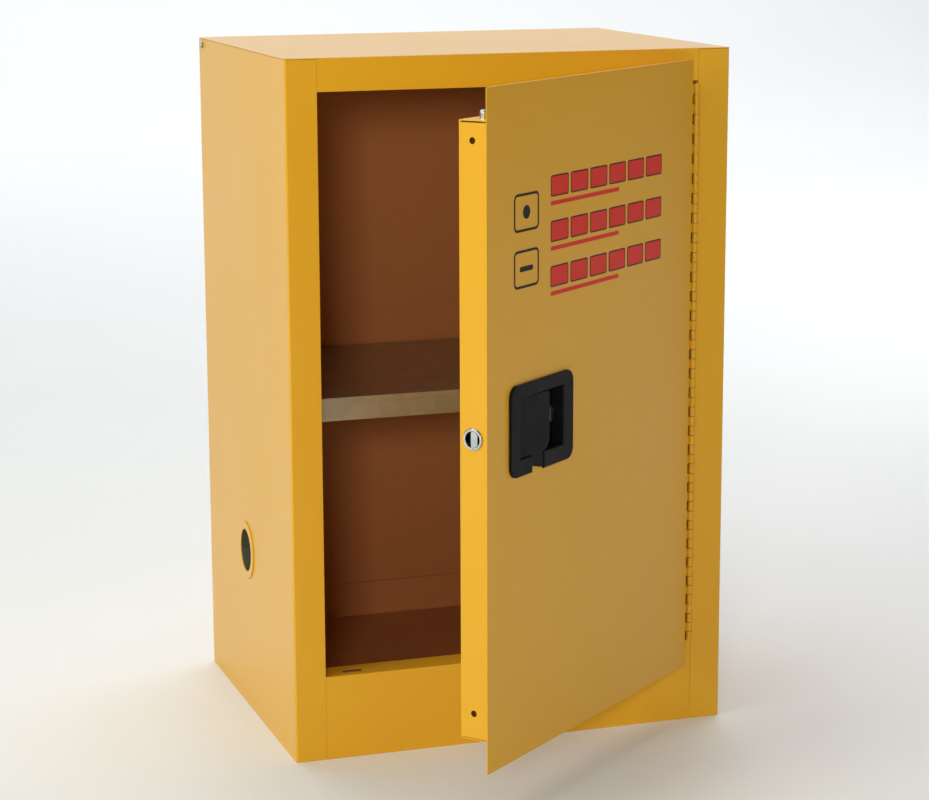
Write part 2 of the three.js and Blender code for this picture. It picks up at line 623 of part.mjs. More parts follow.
const PADDLE_REST = 3; // degrees that the paddle stands out at rest
const PADDLE_ROOM = 1;
const PADDLE_EDGE = FREE_EDGE + 134.5;
const PADDLE_FACE = -3.5;
const PADDLE_PLATE = 3;
const PADDLE_LIP = 6;
const PADDLE_BARREL_R = 4;
const paddleSwing = new THREE.Group();
paddleSwing.position.set(PADDLE_PIN_X, PADDLE_PIN_Y, 0);
paddleSwing.rotation.z = -THREE.MathUtils.degToRad(PADDLE_REST);
door.add(paddleSwing);
const paddleGroup = new THREE.Group();
paddleGroup.position.set(-PADDLE_PIN_X, -PADDLE_PIN_Y, 0);
paddleSwing.add(paddleGroup);

function paddleOutline() {
  const [z0, z1] = grow(RECESS_Z, -PADDLE_ROOM);
  const corner = 15;
  const small = 3;
  const tipZ = TAB_TIP[1] + 0.8; // the tab's tip is blunted
  const shape = new THREE.Shape();
  shape.moveTo(RECESS_X[0] + PADDLE_ROOM, z1);
  shape.lineTo(RECESS_X[0] + PADDLE_ROOM, z0);
  shape.lineTo(TAB_X[0], z0);
  shape.lineTo(TAB_X[0], TAB_TIP[0]);
  shape.lineTo(TAB_X[1] - small, tipZ);
  shape.absarc(TAB_X[1] - small, tipZ + small, small, -Math.PI / 2, 0);
  shape.absarc(PADDLE_EDGE - corner, z0 + corner, corner, -Math.PI / 2, 0);
  shape.absarc(PADDLE_EDGE - small, z1 - small, small, 0, Math.PI / 2);
  return shape;
}

const paddleY = [PADDLE_FACE, PADDLE_FACE + PADDLE_PLATE];
const lipZ = [RECESS_Z[0] + 20, RECESS_Z[1] - 6];
piece(paddleGroup, 'paddle', build(
  [
    extrudeY(paddleOutline(), paddleY),
    roundZ(PADDLE_BARREL_R, PADDLE_PIN_X, PADDLE_PIN_Y, grow(RECESS_Z, -PADDLE_ROOM), SMALL_SIDES),
    slab([PADDLE_EDGE - 2.5, PADDLE_EDGE - 0.01], [PADDLE_FACE + 1, paddleY[1] + PADDLE_LIP], lipZ),
  ],
  [roundZ(PADDLE_PIN_R + GAP, PADDLE_PIN_X, PADDLE_PIN_Y, grow(RECESS_Z, PAST), STUD_SIDES)],
), BLACK_PLASTIC);

// ---- Lock ----
const PLUG_R = 6;
const TAIL_R = 3.5;
const lockFace = 4;
const lockBack = DISH_BACK + 12;
const LOCK_NUT_R = 13;
const LOCK_NUT = 3.7;
const KEYWAY = { halfX: 0.8, halfZ: 3.6, depth: 8 };
const TAIL = 5;
const throughLock = [lockFace - PAST, lockBack + TAIL + PAST];
piece(door, 'lock_housing', build(
  [
    roundY(LOCK_R, LOCK_X, [lockFace, DISH_FLOOR - GAP], LOCK_Z, PLUG_SIDES),
    roundY(LOCK_THREAD_R, LOCK_X, [lockFace + 1, lockBack], LOCK_Z, PLUG_SIDES),
  ],
  [roundY(PLUG_R + GAP, LOCK_X, throughLock, LOCK_Z, PLUG_SIDES)],
), CHROME);
piece(door, 'lock_nut', build(
  [roundY(LOCK_NUT_R, LOCK_X, [DISH_BACK + GAP, DISH_BACK + GAP + LOCK_NUT], LOCK_Z, 6)],
  [roundY(LOCK_THREAD_R + GAP, LOCK_X, throughLock, LOCK_Z, PLUG_SIDES)],
), ZINC);
const tailY = [lockBack, lockBack + TAIL];
const TONGUE_BOSS_R = 8;
const TONGUE_HALF_WIDTH = 6;
const TONGUE_LENGTH = 38;
const tongueY = [tailY[0] + 2 * GAP, tailY[1] - 1.4];
piece(door, 'lock_plug', build(
  [
    roundY(PLUG_R, LOCK_X, [lockFace - 0.4, lockBack + GAP], LOCK_Z, PLUG_SIDES),
    roundY(TAIL_R, LOCK_X, [lockBack - 1, tailY[1]], LOCK_Z, SMALL_SIDES),
  ],
  [slab([LOCK_X - KEYWAY.halfX, LOCK_X + KEYWAY.halfX], [lockFace - PAST, lockFace + KEYWAY.depth],
    [LOCK_Z - KEYWAY.halfZ, LOCK_Z + KEYWAY.halfZ])],
), CHROME);
piece(door, 'lock_tongue', build(
  [
    roundY(TONGUE_BOSS_R, LOCK_X, tongueY, LOCK_Z, 16),
    slab([LOCK_X - TONGUE_HALF_WIDTH, LOCK_X + TONGUE_HALF_WIDTH], tongueY,
      [LOCK_Z, LOCK_Z + TONGUE_LENGTH]),
  ],
  [roundY(TAIL_R + GAP, LOCK_X, throughLock, LOCK_Z, SMALL_SIDES)],
), ZINC);

// ---- Latch: centre bolt, cam and the two rods ----
const HOUSING_FLANGE = 1.5;
const HOUSING_FLANGE_R = 13.4;
const HOUSING_LENGTH = 18;
const HOUSING_NUT_R = 15;
const HOUSING_NUT = 3.5;
const housingFace = PAN_LEFT - GAP - HOUSING_FLANGE;
const housingEnd = PAN_LEFT + HOUSING_LENGTH;
const housingNutFace = PAN_LEFT + SHEET + GAP;
piece(door, 'bolt_housing', ringX([
  [housingFace, BOLT_R + GAP],
  [housingFace, HOUSING_FLANGE_R - 1],
  [housingFace + 1, HOUSING_FLANGE_R],
  [PAN_LEFT - GAP, HOUSING_FLANGE_R],
  [PAN_LEFT - GAP, HOUSING_R],
  [housingEnd, HOUSING_R],
  [housingEnd, BOLT_R + GAP],
], BOLT_Y, BOLT_Z, HOUSING_SIDES), CHROME);
piece(door, 'bolt_housing_nut', build(
  [roundX(HOUSING_NUT_R, [housingNutFace, housingNutFace + HOUSING_NUT], BOLT_Y, BOLT_Z, 6)],
  [roundX(HOUSING_R + GAP, [PAN_LEFT - PAST, housingEnd + PAST], BOLT_Y, BOLT_Z, HOUSING_SIDES)],
), ZINC);

const LINK_Y = [21.5, 24]; // flat ends of the rods and of the bolt
const TAB_HALF = 6.5;
const SLOT_HALF = CAM_PIN_R + 0.8;
const SLOT_TRAVEL = 2.2; // a pin swings this far towards the cam's pivot
const beyondLink = grow(LINK_Y, PAST);

// A slot across the pull, reaching inwards from a pin of the cam.
function pinSlot(x, z, towardX, towardZ) {
  const xs = ordered(x, x + towardX * SLOT_TRAVEL);
  const zs = ordered(z, z + towardZ * SLOT_TRAVEL);
  return slab(grow(xs, SLOT_HALF), beyondLink, grow(zs, SLOT_HALF));
}

const boltTip = housingFace - 0.5;
const BOLT_LENGTH = 22;
const BEVEL_LENGTH = 9;
const BEVEL_START = 1.5; // from the bolt's axis towards its inner side
const NOSE_LENGTH = 12;
const SHANK_HALF = 6.5;
const boltEnd = boltTip + BOLT_LENGTH;
const TAIL_HALF = 5.5; // narrow enough to follow the bolt into its housing
const noseX = [boltTip, boltTip + NOSE_LENGTH];

// The slope on the nose's inner side, which rides over the strike as the door shuts.
const boltBevel = extrudeZ(outline([
  [boltTip - 1, BOLT_Y + BEVEL_START],
  [boltTip, BOLT_Y + BEVEL_START],
  [boltTip + BEVEL_LENGTH, BOLT_Y + BOLT_R + 1],
  [boltTip - 1, BOLT_Y + BOLT_R + 1],
]), [BOLT_Z - BOLT_R - 1, BOLT_Z + BOLT_R + 1]);
piece(door, 'latch_bolt', build(
  [
    roundX(BOLT_R, noseX, BOLT_Y, BOLT_Z, HOUSING_SIDES),
    slab([noseX[1] - 1, boltEnd], grow([BOLT_Y, BOLT_Y], SHANK_HALF), grow([BOLT_Z, BOLT_Z], SHANK_HALF)),
    slab([boltEnd - 4, CAM_X], LINK_Y, grow([BOLT_Z, BOLT_Z], TAIL_HALF)),
    slab(grow([CAM_X, CAM_X], TAB_HALF), LINK_Y, [BOLT_Z - TAB_HALF, BOLT_Z + TAB_HALF + SLOT_TRAVEL]),
  ],
  [
    pinSlot(CAM_X, CAM_Z - CAM_ARM, 0, 1),
    boltBevel,
    slab(grow(noseX, 1), [BOLT_Y + BOLT_FLAT, BOLT_Y + 2 * BOLT_R], grow([BOLT_Z, BOLT_Z], 2 * BOLT_R)),
    slab(grow(noseX, 1), [BOLT_Y - 2 * BOLT_R, BOLT_Y - BOLT_FLAT], grow([BOLT_Z, BOLT_Z], 2 * BOLT_R)),
  ],
), CHROME);

const TOP_TIP = OPEN_TOP - 1.5;
const BOTTOM_TIP = OPEN_BOTTOM + 0.8;
const STRAP_LAP = 10;
const strapTop = CAM_Z + 36; // the strap keeps the rod clear of the cam's arm
piece(door, 'top_rod', build(
  [
    roundZ(ROD_R, TOP_ROD_X, TOP_ROD_Y, [strapTop - STRAP_LAP, TOP_TIP]),
    slab([TOP_ROD_X - TAB_HALF, TOP_ROD_X + TAB_HALF], LINK_Y, [CAM_Z, strapTop]),
    slab([TOP_ROD_X - TAB_HALF, TOP_ROD_X + TAB_HALF + SLOT_TRAVEL], LINK_Y,
      grow([CAM_Z, CAM_Z], TAB_HALF)),
  ],
  [pinSlot(TOP_ROD_X, CAM_Z, 1, 0)],
), ZINC);
const camRight = CAM_X + CAM_ARM;
const ELBOW_Z = [434, 446];
piece(door, 'bottom_rod', build(
  [
    roundZ(ROD_R, BOTTOM_ROD_X, BOTTOM_ROD_Y, [BOTTOM_TIP, ELBOW_Z[1]]),
    slab([BOTTOM_ROD_X - 6, camRight + TAB_HALF], LINK_Y, ELBOW_Z),
    slab([camRight - TAB_HALF, camRight + TAB_HALF], LINK_Y, [ELBOW_Z[0], CAM_Z]),
    slab([camRight - TAB_HALF - SLOT_TRAVEL, camRight + TAB_HALF], LINK_Y,
      grow([CAM_Z, CAM_Z], TAB_HALF)),
  ],
  [pinSlot(camRight, CAM_Z, -1, 0)],
), ZINC);

const CAM_STUD_R = 3;
const CAM_BOSS_R = 8;
const CAM_HEAD_R = 6;
const CAM_SIDES = 16;
const CAM_Y = [26, 29];
const ARM_HALF = 5;
const pinY = [LINK_Y[0] - 1, CAM_Y[0] + 1];
piece(door, 'latch_cam', build(
  [
    slab(grow([CAM_X, CAM_X], CAM_ARM + ARM_HALF), CAM_Y, grow([CAM_Z, CAM_Z], ARM_HALF)),
    slab(grow([CAM_X, CAM_X], ARM_HALF), CAM_Y, [CAM_Z - CAM_ARM - ARM_HALF, CAM_Z]),
    roundY(CAM_BOSS_R, CAM_X, [CAM_Y[0], CAM_Y[1] + 1.5], CAM_Z, CAM_SIDES),
    roundY(CAM_PIN_R, CAM_X - CAM_ARM, pinY, CAM_Z, SMALL_SIDES),
    roundY(CAM_PIN_R, CAM_X + CAM_ARM, pinY, CAM_Z, SMALL_SIDES),
    roundY(CAM_PIN_R, CAM_X, pinY, CAM_Z - CAM_ARM, SMALL_SIDES),
  ],
  [roundY(CAM_STUD_R + GAP, CAM_X, grow(CAM_Y, PAST), CAM_Z, CAM_SIDES)],
), ZINC);
piece(door, 'cam_stud', build([
  roundY(CAM_STUD_R, CAM_X, [CAM_Y[0] - 3, PAN_FLOOR - GAP], CAM_Z, CAM_SIDES),
  roundY(CAM_HEAD_R, CAM_X, [CAM_Y[0] - 3, CAM_Y[0] - 1], CAM_Z, CAM_SIDES),
]), ZINC);

// The return spring, wound round the stud between the cam and the pan.
const SPRING_R = 6;
const SPRING_WIRE_R = 0.7;
const SPRING_TURNS = 4;
const springY = [CAM_Y[1] + 3.2, PAN_FLOOR - 1.6];

class SpringPath extends THREE.Curve {
  getPoint(t, target = new THREE.Vector3()) {
    const angle = t * SPRING_TURNS * Math.PI * 2;
    return target.set(
      CAM_X + SPRING_R * Math.cos(angle),
      THREE.MathUtils.lerp(springY[0], springY[1], t),
      CAM_Z + SPRING_R * Math.sin(angle),
    );
  }
}

function wireSection(radius, sides) {
  const shape = new THREE.Shape();
  for (let side = 0; side < sides; side += 1) {
    const angle = (side / sides) * Math.PI * 2;
    const point = [radius * Math.cos(angle), radius * Math.sin(angle)];
    if (side === 0) shape.moveTo(...point);
    else shape.lineTo(...point);
  }
  return shape;
}

piece(door, 'cam_spring', new THREE.ExtrudeGeometry(wireSection(SPRING_WIRE_R, 6), {
  steps: SPRING_TURNS * 10,
  extrudePath: new SpringPath(),
}), SPRING_STEEL);

// Brackets on the pan's back that the rods run through.
const GUIDE_HALF = 15;
const GUIDE = 2;
const GUIDE_FOOT = 20;
const GUIDE_REACH = 8; // in front of the rod's axis
const GUIDE_ROOM = 0.5;
const GUIDE_TOP_Z = 770;
const GUIDE_BOTTOM_Z = 180;

function addRodGuide(name, x, y, z) {
  const across = [x - GUIDE_HALF, x + GUIDE_HALF];
  piece(door, name, build(
    [
      slab(across, [y - GUIDE_REACH, PAN_FLOOR - GAP], [z, z + GUIDE]),
      slab(across, [PAN_FLOOR - GAP - GUIDE, PAN_FLOOR - GAP], [z, z + GUIDE_FOOT]),
    ],
    [roundZ(ROD_R + GUIDE_ROOM, x, y, [z - PAST, z + PAST])],
  ), ZINC);
}

addRodGuide('rod_guide_top', TOP_ROD_X, TOP_ROD_Y, GUIDE_TOP_Z);
addRodGuide('rod_guide_bottom', BOTTOM_ROD_X, BOTTOM_ROD_Y, GUIDE_BOTTOM_Z);

export default cabinet;
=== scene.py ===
"""Flammable storage cabinet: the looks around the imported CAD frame.

Metres, in the row frame: +Z up, the front faces -Y, the floor is z = 0. Door pieces are laid out as on
the shut door and then turned by the hinge to the open rest angle.
"""
import json
import math

import bmesh
import bpy
from mathutils import Matrix, Vector


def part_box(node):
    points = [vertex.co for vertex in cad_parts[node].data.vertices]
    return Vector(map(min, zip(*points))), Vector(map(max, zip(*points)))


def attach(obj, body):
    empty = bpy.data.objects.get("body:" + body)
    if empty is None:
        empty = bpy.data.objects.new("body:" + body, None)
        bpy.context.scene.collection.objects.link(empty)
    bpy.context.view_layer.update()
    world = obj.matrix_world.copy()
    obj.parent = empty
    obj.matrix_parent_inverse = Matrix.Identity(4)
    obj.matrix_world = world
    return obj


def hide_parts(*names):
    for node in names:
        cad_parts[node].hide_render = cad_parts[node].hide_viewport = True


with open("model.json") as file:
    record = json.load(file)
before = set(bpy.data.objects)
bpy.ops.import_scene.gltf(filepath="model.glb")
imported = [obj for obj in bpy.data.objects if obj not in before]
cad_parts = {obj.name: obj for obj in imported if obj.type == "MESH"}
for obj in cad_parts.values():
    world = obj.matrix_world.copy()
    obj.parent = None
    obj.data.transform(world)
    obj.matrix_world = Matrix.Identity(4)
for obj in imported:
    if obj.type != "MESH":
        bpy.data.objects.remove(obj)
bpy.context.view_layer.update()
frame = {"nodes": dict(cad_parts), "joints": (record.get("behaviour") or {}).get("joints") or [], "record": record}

MM = 0.001
SEAM = 0.3 * MM
NODES = frame["nodes"]
RECORD = frame["record"]
BODY_OF = {node: body for body, nodes in RECORD["behaviour"]["bodies"].items() for node in nodes}
SLOT_OF = {row["node"]: row["material_slot"] for row in RECORD["subparts"]}
JOINT = {joint["name"]: joint for joint in frame["joints"]}

# The carcass, from the frame.
shell_low, shell_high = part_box("left_side_panel")
right_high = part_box("right_side_panel")[1]
FRONT_Y = shell_low.y
HINGE = Vector(JOINT["door_hinge"]["pos_m"])
DOOR_OPEN = -math.radians(JOINT["door_hinge"]["range_deg"][0])
OPEN_DOOR = (
    Matrix.Translation(HINGE) @ Matrix.Rotation(DOOR_OPEN, 4, "Z") @ Matrix.Translation(-HINGE)
)
SHUT_DOOR = OPEN_DOOR.inverted()


def shut_box(node):
    """A door node's lowest and highest corners as on the shut door."""
    points = [SHUT_DOOR @ vertex.co for vertex in NODES[node].data.vertices]
    low = Vector([min(point[axis] for point in points) for axis in range(3)])
    high = Vector([max(point[axis] for point in points) for axis in range(3)])
    return low, high


# ---------------------------------------------------------------- camera
CAMERA_AT = Vector((-1.0728, FRONT_Y - 3.0, 1.1039))
CAMERA_YAW = math.radians(18.51)
CAMERA_PITCH = math.radians(-11.86)
CAMERA_ROLL = math.radians(-0.22)
CAMERA_LENS = 99.18
CAMERA_SENSOR = 36
CAMERA_SHIFT = (0.0026, 0.0137)


def add_camera():
    """A long lens from the front left, a little above the cabinet."""
    ahead = Vector((
        math.sin(CAMERA_YAW) * math.cos(CAMERA_PITCH),
        math.cos(CAMERA_YAW) * math.cos(CAMERA_PITCH),
        math.sin(CAMERA_PITCH),
    ))
    level = Vector((math.cos(CAMERA_YAW), -math.sin(CAMERA_YAW), 0))
    up = level.cross(ahead)
    right = math.cos(CAMERA_ROLL) * level + math.sin(CAMERA_ROLL) * up
    up = math.cos(CAMERA_ROLL) * up - math.sin(CAMERA_ROLL) * level
    data = bpy.data.cameras.new("camera")
    data.sensor_width = CAMERA_SENSOR
    data.lens = CAMERA_LENS
    data.shift_x, data.shift_y = CAMERA_SHIFT
    data.clip_end = 200
    camera = bpy.data.objects.new("camera", data)
    camera.matrix_world = Matrix.Translation(CAMERA_AT) @ Matrix((right, up, -ahead)).transposed().to_4x4()
    bpy.context.scene.collection.objects.link(camera)
    bpy.context.scene.camera = camera


add_camera()


# ---------------------------------------------------------------- materials
class Shader:
    """A node material with a Principled shader, and short ways to wire its sockets."""

    def __init__(self, name, **constants):
        self.material = bpy.data.materials.new(name)
        self.material.use_nodes = True
        self.tree = self.material.node_tree
        self.principled = self.tree.nodes["Principled BSDF"]
        for socket, value in constants.items():
            self.principled.inputs[socket.replace("_", " ")].default_value = value
        self.coordinates = self.add("ShaderNodeTexCoord").outputs["Object"]

    def add(self, kind, **settings):
        node = self.tree.nodes.new(kind)
        for key, value in settings.items():
            setattr(node, key, value)
        return node

    def link(self, output, target):
        self.tree.links.new(output, target)

    def noise(self, scale, detail=3, stretch=(1, 1, 1)):
        mapping = self.add("ShaderNodeMapping")
        mapping.inputs["Scale"].default_value = stretch
        self.link(self.coordinates, mapping.inputs["Vector"])
        noise = self.add("ShaderNodeTexNoise")
        noise.inputs["Scale"].default_value = scale
        noise.inputs["Detail"].default_value = detail
        self.link(mapping.outputs["Vector"], noise.inputs["Vector"])
        return noise.outputs["Fac"]

    def cell_colors(self, scale):
        cells = self.add("ShaderNodeTexVoronoi")
        cells.inputs["Scale"].default_value = scale
        self.link(self.coordinates, cells.inputs["Vector"])
        return cells.outputs["Color"]

    def spread(self, value, low, high, source=(0.3, 0.7)):
        remap = self.add("ShaderNodeMapRange")
        remap.inputs["From Min"].default_value, remap.inputs["From Max"].default_value = source
        remap.inputs["To Min"].default_value, remap.inputs["To Max"].default_value = low, high
        self.link(value, remap.inputs["Value"])
        return remap.outputs["Result"]

    def blend(self, factor, first, second):
        mix = self.add("ShaderNodeMix", data_type="RGBA")
        for socket, value in (("A", first), ("B", second)):
            target = next(s for s in mix.inputs if s.name == socket and s.type == "RGBA")
            if isinstance(value, bpy.types.NodeSocket):
                self.link(value, target)
            else:
                target.default_value = (*value, 1)
        self.link(factor, mix.inputs["Factor"])
        return next(s for s in mix.outputs if s.type == "RGBA")

    def color(self, value):
        self.link(value, self.principled.inputs["Base Color"])

    def roughness(self, value):
        self.link(value, self.principled.inputs["Roughness"])

    def bumps(self, *layers):
        """Each layer is (height, strength, depth in metres)."""
        normal = None
        for height, strength, depth in layers:
            bump = self.add("ShaderNodeBump")
            bump.inputs["Strength"].default_value = strength
            bump.inputs["Distance"].default_value = depth
            self.link(height, bump.inputs["Height"])
            if normal is not None:
                self.link(normal, bump.inputs["Normal"])
            normal = bump.outputs["Normal"]
        self.link(normal, self.principled.inputs["Normal"])


def powder_coat(name, color, shade, gloss):
    """Semi-gloss powder coat: orange peel, a slow drift of tone and of gloss."""
    shader = Shader(name, IOR=1.5, Specular_IOR_Level=0.36)
    drift = shader.spread(shader.noise(2.2, detail=2), 0, 1)
    shader.color(shader.blend(drift, color, shade))
    shader.roughness(shader.spread(shader.noise(4, detail=1), gloss, gloss + 0.04))
    shader.bumps((shader.noise(340, detail=1), 0.1, 0.00005))
    return shader.material


def galvanised(name):
    """Galvanised sheet: a faint spangle under fine rolling lines along X."""
    shader = Shader(name, Metallic=1)
    gray = shader.add("ShaderNodeRGBToBW")
    shader.link(shader.cell_colors(60), gray.inputs["Color"])
    spangle = gray.outputs["Val"]
    lines = shader.noise(260, detail=4, stretch=(0.03, 1, 1))
    spangled = shader.blend(shader.spread(spangle, 0, 1), (0.47, 0.46, 0.43), (0.53, 0.52, 0.49))
    shader.color(shader.blend(shader.spread(lines, 0, 0.5), spangled, (0.42, 0.41, 0.38)))
    shader.roughness(shader.spread(lines, 0.34, 0.46))
    shader.bumps((lines, 0.12, 0.00006), (spangle, 0.02, 0.0001))
    return shader.material


def plated(name, bright, dull, rough, grain=(1, 1, 1)):
    """Zinc or chrome plate with a fine grain and a slight haze."""
    shader = Shader(name, Metallic=1)
    haze = shader.spread(shader.noise(70, detail=4), 0, 1)
    shader.color(shader.blend(haze, bright, dull))
    lines = shader.noise(520, detail=2, stretch=grain)
    shader.roughness(shader.spread(lines, rough, rough + 0.14))
    shader.bumps((lines, 0.08, 0.00004))
    return shader.material


def moulded_plastic(name, color, worn):
    """Black nylon with a spark-eroded grain, a little polished where hands touch it."""
    shader = Shader(name, IOR=1.5, Specular_IOR_Level=0.1)
    shader.color(shader.blend(shader.spread(shader.noise(14, detail=4), 0, 1), color, worn))
    shader.roughness(shader.spread(shader.noise(22, detail=4), 0.36, 0.5))
    shader.bumps((shader.noise(1100, detail=2), 0.35, 0.00008))
    return shader.material


def printed_film(name, color, faded):
    """Printed vinyl: a thin even ink with slight fading."""
    shader = Shader(name, IOR=1.48, Specular_IOR_Level=0.2)
    shader.color(shader.blend(shader.spread(shader.noise(60, detail=5), 0, 1), color, faded))
    shader.roughness(shader.spread(shader.noise(30), 0.3, 0.42))
    shader.bumps((shader.noise(350, detail=1), 0.1, 0.00005))
    return shader.material


MATERIAL = {
    "yellow_paint": powder_coat("yellow_paint", (0.8, 0.42, 0.018), (0.78, 0.405, 0.016), 0.28),
    # liner_paint is the same yellow paint as outside, darkened and reddened into painted shade for the shade and
    # warm bounce inside the cabinet
    "liner_paint": powder_coat("liner_paint", (0.46, 0.175, 0.06), (0.43, 0.16, 0.055), 0.4),
    "galvanised": galvanised("galvanised"),
    "zinc_plate": plated("zinc_plate", (0.62, 0.62, 0.62), (0.5, 0.5, 0.49), 0.24),
    "chrome": plated("chrome", (0.6, 0.61, 0.64), (0.46, 0.47, 0.5), 0.1),
    "black_plastic": moulded_plastic("black_plastic", (0.004, 0.004, 0.005), (0.008, 0.008, 0.009)),
    "spring_steel": plated("spring_steel", (0.3, 0.3, 0.31), (0.2, 0.2, 0.2), 0.3),
    "arrester_mesh": plated("arrester_mesh", (0.085, 0.09, 0.055), (0.045, 0.048, 0.03), 0.4),
    "label_red": printed_film("label_red", (0.78, 0.03, 0.016), (0.72, 0.034, 0.02)),
    "label_black": printed_film("label_black", (0.006, 0.005, 0.005), (0.01, 0.009, 0.008)),
}


# ---------------------------------------------------------------- mesh helpers
def finish_mesh(name, bm, body, slot, replaced=(), sharp=40):
    """Turns a bmesh into a piece with smooth shading, weighted normals, a material and a body."""
    bmesh.ops.recalc_face_normals(bm, faces=bm.faces)
    mesh = bpy.data.meshes.new(name)
    bm.to_mesh(mesh)
    bm.free()
    mesh.shade_smooth()
    mesh.set_sharp_from_angle(angle=math.radians(sharp))
    mesh.materials.append(MATERIAL[slot])
    piece = bpy.data.objects.new(name, mesh)
    bpy.context.scene.collection.objects.link(piece)
    weighted = piece.modifiers.new("weighted_normals", "WEIGHTED_NORMAL")
    weighted.keep_sharp = True
    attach(piece, body)
    if replaced:
        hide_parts(*replaced)
    return piece


def sharp_edges(bm, angle=30):
    limit = math.radians(angle)
    return [e for e in bm.edges if len(e.link_faces) == 2 and e.calc_face_angle() > limit]


def above(height):
    """A test of an edge: both its ends are higher than this."""
    return lambda edge: all(vertex.co.z > height for vertex in edge.verts)


def soften(node, width, segments=2, wide=None):
    """A CAD node with its edges rounded. wide is (test of an edge, width) for a larger rounding first."""
    bm = bmesh.new()
    bm.from_mesh(NODES[node].data)
    bmesh.ops.remove_doubles(bm, verts=bm.verts, dist=1e-6)
    bmesh.ops.dissolve_limit(bm, angle_limit=math.radians(1), verts=bm.verts, edges=bm.edges)
    if wide:
        chosen = [e for e in sharp_edges(bm) if wide[0](e)]
        bmesh.ops.bevel(
            bm, geom=chosen, offset=wide[1], segments=4, profile=0.5, affect="EDGES", clamp_overlap=True
        )
    bmesh.ops.bevel(
        bm,
        geom=sharp_edges(bm, 40),
        offset=width,
        segments=segments,
        profile=0.5,
        affect="EDGES",
        clamp_overlap=True,
    )
    bmesh.ops.remove_doubles(bm, verts=bm.verts, dist=1e-7)
    return finish_mesh(f"{node}_formed", bm, BODY_OF[node], SLOT_OF[node], (node,), sharp=50)


def extrude_profile(bm, points, low, high):
    """A closed outline of (x, y) points, run up Z from low to high."""
    bottom = [bm.verts.new((x, y, low)) for x, y in points]
    top = [bm.verts.new((x, y, high)) for x, y in points]
    bm.faces.new(bottom)
    bm.faces.new(list(reversed(top)))
    total = len(points)
    for index in range(total):
        after = (index + 1) % total
        bm.faces.new((bottom[after], bottom[index], top[index], top[after]))


def lathe_x(bm, section, y, z, sides):
    """A ring about the X axis through y, z, from a closed list of (x, radius)."""
    loops = []
    for x, radius in section:
        loops.append([
            bm.verts.new((x, y + radius * math.cos(a), z + radius * math.sin(a)))
            for a in (2 * math.pi * side / sides for side in range(sides))
        ])
    for first, second in zip(loops, loops[1:] + loops[:1]):
        for side in range(sides):
            after = (side + 1) % sides
            bm.faces.new((first[side], first[after], second[after], second[side]))


def arc(center_u, center_v, radius, start, end, steps):
    for step in range(steps + 1):
        angle = math.radians(start + (end - start) * step / steps)
        yield center_u + radius * math.cos(angle), center_v + radius * math.sin(angle)


def circle(center_u, center_v, radius, sides=60):
    return list(arc(center_u, center_v, radius, 0, 360 - 360 / sides, sides - 1))


# ---------------------------------------------------------------- sheet metal
SHEET_EDGE = 0.35 * MM
LAP_HEIGHT = 1.2 * MM
LAP_ROUNDING = 0.9 * MM


def paint_solids():
    """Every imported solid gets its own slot's material, for where nothing replaces it."""
    for node, cad in NODES.items():
        cad.data.materials.clear()
        cad.data.materials.append(MATERIAL[SLOT_OF[node]])


def add_sheet_metal():
    for node in (
        "left_side_panel", "right_side_panel", "front_sill", "outer_back_panel",
        "outer_bottom_panel", "inner_left_wall", "inner_right_wall", "inner_back_wall",
        "inner_top_panel", "sump_tray", "door_skin", "door_pan",
    ):
        soften(node, SHEET_EDGE)
    soften("top_panel", SHEET_EDGE, wide=(above(shell_high.z + LAP_HEIGHT), LAP_ROUNDING))


# ---------------------------------------------------------------- hinge
KNUCKLES = 58
KNUCKLE_GAP = 0.8 * MM
KNUCKLE_SIDES = 20
ROLL_OPENING = 28
LEAF_SHEET = 1.2 * MM
LEAF_LAP = 0.2 * MM


def rolled_knuckle(pin, radius, leaf_angle):
    """The section of a knuckle: a strip rolled round the pin until it nearly meets its leaf."""
    start = leaf_angle + ROLL_OPENING
    end = leaf_angle + 360
    outer = list(arc(pin.x, pin.y, radius, start, end, KNUCKLE_SIDES))
    inner = list(arc(pin.x, pin.y, radius - LEAF_SHEET, start, end, KNUCKLE_SIDES))
    return outer + inner[::-1]


def rectangle(x0, x1, y0, y1):
    return [(x0, y0), (x1, y0), (x1, y1), (x0, y1)]


def add_hinge():
    """Both leaves, with knuckles rolled from the leaf and a notch beside each of the other's."""
    low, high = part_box("hinge_frame_leaf")
    pin = Vector((HINGE.x, HINGE.y))
    radius = pin.x - low.x
    pitch = (high.z - low.z) / KNUCKLES

    def leaf(first, name, strip, web, turn, body, node, place):
        bm = bmesh.new()
        extrude_profile(bm, strip, low.z, high.z)
        for index in range(first, KNUCKLES, 2):
            z0 = low.z + index * pitch + KNUCKLE_GAP / 2
            z1 = z0 + pitch - KNUCKLE_GAP
            extrude_profile(bm, web, z0, z1)
            extrude_profile(bm, rolled_knuckle(pin, radius, turn), z0, z1)
        bm.transform(place)
        return finish_mesh(name, bm, body, "yellow_paint", (node,), sharp=35)

    strip_front = pin.y + radius + SEAM
    leaf(
        0, "hinge_frame_leaf_rolled",
        rectangle(high.x - LEAF_SHEET, high.x, strip_front, high.y),
        rectangle(pin.x + radius - LEAF_SHEET, pin.x + radius, pin.y, strip_front + LEAF_LAP),
        0, "cabinet", "hinge_frame_leaf", Matrix.Identity(4),
    )
    leaf_left = shut_box("hinge_door_leaf")[0].x
    strip_right = shut_box("door_skin")[1].x - 2 * SEAM
    back = pin.y + radius
    leaf(
        1, "hinge_door_leaf_rolled",
        rectangle(leaf_left, strip_right, back - LEAF_SHEET, back),
        rectangle(strip_right - LEAF_LAP, pin.x, back - LEAF_SHEET, back),
        90, "door", "hinge_door_leaf", OPEN_DOOR,
    )


